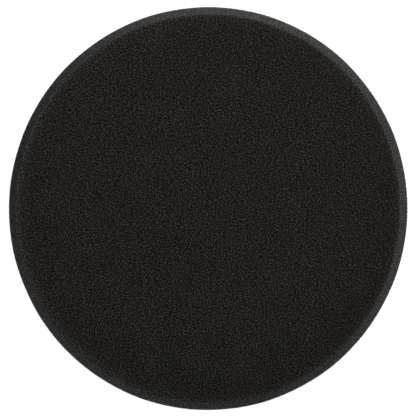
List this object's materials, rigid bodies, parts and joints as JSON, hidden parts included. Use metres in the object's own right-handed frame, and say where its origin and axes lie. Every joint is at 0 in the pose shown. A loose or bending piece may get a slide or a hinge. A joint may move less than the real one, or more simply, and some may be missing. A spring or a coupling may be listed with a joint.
{
  "type": "polishing pad",
  "caption": "Round foam polishing pad with a bevelled edge and a loop back, which sticks to a hook-faced backing plate on a car polisher.",
  "frame": {"origin": "centre of the loop face, the lowest face, which meets the backing plate", "axes": "+Z along the spin axis, from the loop face out through the working face; +X and +Y lie across the pad, which is round, so neither is special"},
  "size_m": [0.1498, 0.1498, 0.0278],
  "materials": {
    "foam": "matte",
    "film": "satin",
    "cloth": "matte",
    "pile": "matte"
  },
  "bodies": {
    "root": {"foam_disc": "foam", "bond_film": "film", "loop_cloth": "cloth", "loop_pile": "pile"}
  },
  "joints": []
}
